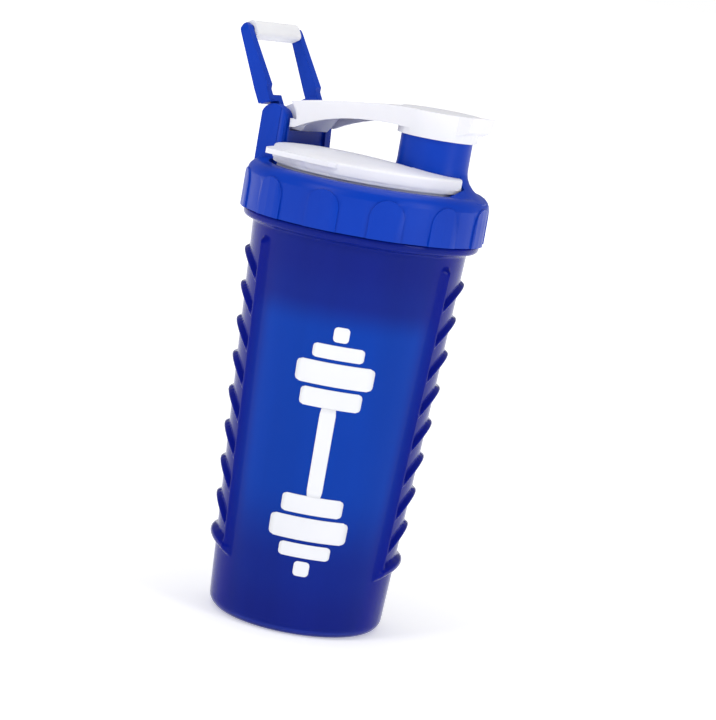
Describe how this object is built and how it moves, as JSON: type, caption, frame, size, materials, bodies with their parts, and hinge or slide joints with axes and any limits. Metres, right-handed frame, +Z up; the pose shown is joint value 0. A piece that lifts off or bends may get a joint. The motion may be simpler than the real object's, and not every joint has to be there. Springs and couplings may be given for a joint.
{
  "type": "shaker bottle",
  "caption": "Tapered shaker bottle with ribbed side grips, a screw lid with powder hatch, a capped drinking spout under a flip strip, and a carry loop.",
  "frame": {"origin": "middle of the flat underside of the base, on the bottle's axis", "axes": "+Z up along the bottle's axis; +X and -X run through the two ribbed grips, so -Y is the smooth printed front; with the lid done up, the cover strip points 30 degrees from +X towards -Y"},
  "size_m": [0.1103, 0.1029, 0.2323],
  "materials": {
    "clear_blue": "translucent blue moulding, polished",
    "blue": "opaque royal blue moulding, satin",
    "white": "opaque white moulding, satin",
    "grip": "white soft sleeve, fine grain",
    "seal": "pale silicone, matt",
    "steel": "bright stainless wire"
  },
  "bodies": {
    "bottle": {"bottle_body": "clear_blue"},
    "whisk": {"whisk_ball": "steel"},
    "gasket": {"lid_gasket": "seal"},
    "lid": {"lid_shell": "blue", "powder_cup": "clear_blue", "hinge_pin": "steel"},
    "hatch": {"hatch_cap": "white", "hatch_gasket": "seal"},
    "cover": {"flip_cover": "white", "spout_seal": "seal"},
    "loop": {"carry_loop": "blue", "loop_grip": "grip"}
  },
  "joints": [
    {"name": "lid_rise", "type": "slide", "parent": "bottle", "child": "gasket", "axis": [0, 0, 1], "range_m": [0, 0.0091]},
    {"name": "lid_turn", "type": "hinge", "parent": "gasket", "child": "lid", "pos_m": [0, 0, 0], "axis": [0, 0, 1], "range_deg": [0, 540]},
    {"name": "hatch_lift", "type": "slide", "parent": "lid", "child": "hatch", "axis": [0, 0, 1], "range_m": [0, 0.009]},
    {"name": "cover_open", "type": "hinge", "parent": "lid", "child": "cover", "pos_m": [-0.03337, 0.0262, 0.196], "axis": [-0.5, -0.866, 0], "range_deg": [0, 90]},
    {"name": "loop_swing", "type": "hinge", "parent": "lid", "child": "loop", "pos_m": [-0.03337, 0.0262, 0.196], "axis": [-0.5, -0.866, 0], "range_deg": [0, 65]},
    {"name": "whisk_bounce", "type": "slide", "parent": "bottle", "child": "whisk", "axis": [0, 0, 1], "range_m": [0, 0.08]}
  ],
  "couplings": [
    {"joint": "lid_rise", "follows": "lid_turn", "m_per_rad": 0.00095493}
  ]
}
